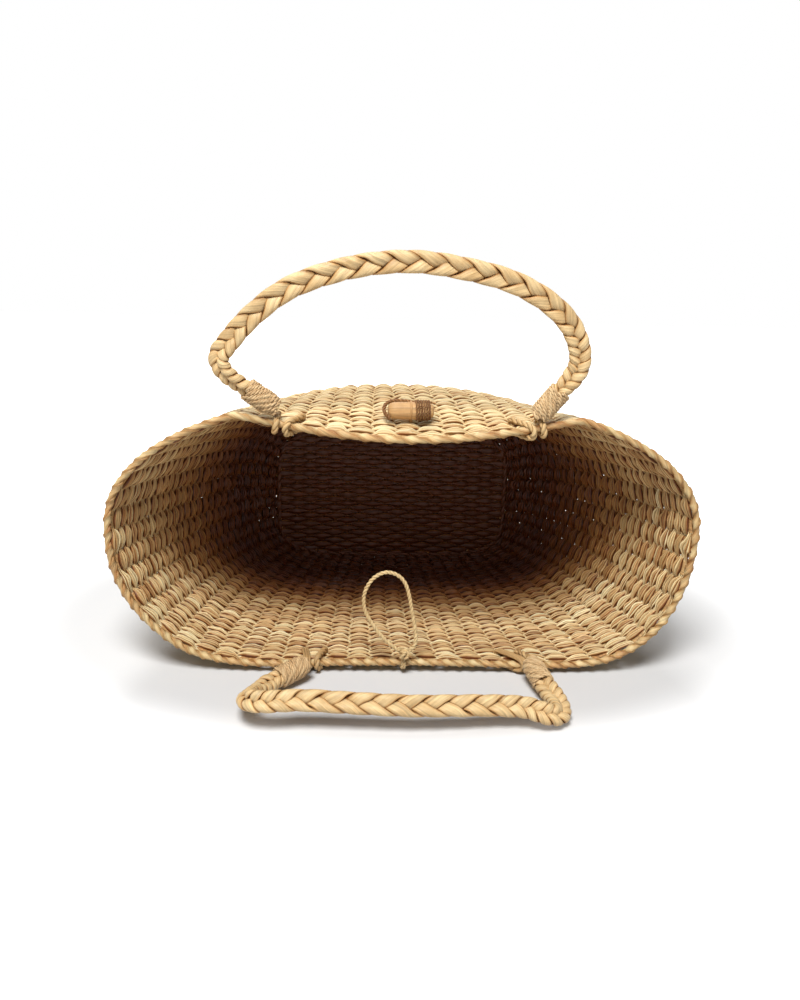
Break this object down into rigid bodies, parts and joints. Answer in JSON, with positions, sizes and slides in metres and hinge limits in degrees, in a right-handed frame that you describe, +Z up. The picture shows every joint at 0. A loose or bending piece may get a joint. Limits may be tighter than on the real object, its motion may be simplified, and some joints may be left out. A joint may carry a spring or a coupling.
{
  "type": "market basket",
  "caption": "Hand-woven reed market basket lying on its side, with plaited handles lashed to the rim, a rolled toggle on one rim and a cord loop on the other.",
  "frame": {"origin": "middle of the basket's bounding box, on the surface that it lies on", "axes": "+Z up as it lies on its back wall, +X across the mouth to the right as seen from the front, +Y from the mouth towards the base"},
  "size_m": [0.4062, 0.271, 0.2963],
  "materials": {
    "woven_reed": "matt woven rush",
    "border_reed": "matt rolled rush",
    "plaited_reed": "smooth plaited rush",
    "lashing_reed": "matt flat strip",
    "binding_cord": "thin split rush",
    "toggle_reed": "rolled rush, satin",
    "twisted_cord": "two-ply twisted rush"
  },
  "bodies": {
    "basket": {"front_wall": "woven_reed", "left_end_wall": "woven_reed", "back_wall": "woven_reed", "right_end_wall": "woven_reed", "base_mat": "woven_reed", "rim_border": "border_reed", "front_handle_left_lashing_a": "lashing_reed", "front_handle_left_lashing_b": "lashing_reed", "front_handle_right_lashing_a": "lashing_reed", "front_handle_right_lashing_b": "lashing_reed", "back_handle_left_lashing_a": "lashing_reed", "back_handle_left_lashing_b": "lashing_reed", "back_handle_right_lashing_a": "lashing_reed", "back_handle_right_lashing_b": "lashing_reed", "closure_hitch": "twisted_cord", "closure_knot": "twisted_cord"},
    "front_handle": {"front_handle_plait": "plaited_reed", "front_handle_left_binding": "binding_cord", "front_handle_right_binding": "binding_cord"},
    "back_handle": {"back_handle_plait": "plaited_reed", "back_handle_left_binding": "binding_cord", "back_handle_right_binding": "binding_cord"},
    "closure_loop": {"closure_loop": "twisted_cord"},
    "toggle": {"toggle_roll": "toggle_reed", "toggle_wrap": "binding_cord", "toggle_band": "toggle_reed", "toggle_knot": "toggle_reed"}
  },
  "joints": [
    {"name": "front_handle_swing", "type": "hinge", "parent": "basket", "child": "front_handle", "pos_m": [0, -0.04693, 0.18065], "axis": [1, 0, 0], "range_deg": [-10, 135]},
    {"name": "back_handle_swing", "type": "hinge", "parent": "basket", "child": "back_handle", "pos_m": [0, -0.04664, 0.00749], "axis": [-1, 0, 0], "range_deg": [-109, 36]},
    {"name": "closure_loop_swing", "type": "hinge", "parent": "basket", "child": "closure_loop", "pos_m": [0.00171, -0.05277, 0.01741], "axis": [1, 0, 0], "range_deg": [-73, 110]},
    {"name": "toggle_swivel", "type": "hinge", "parent": "basket", "child": "toggle", "pos_m": [0.00189, -0.0277, 0.18723], "axis": [-0.0014, -0.2043, 0.9789], "range_deg": [-60, 60]}
  ]
}
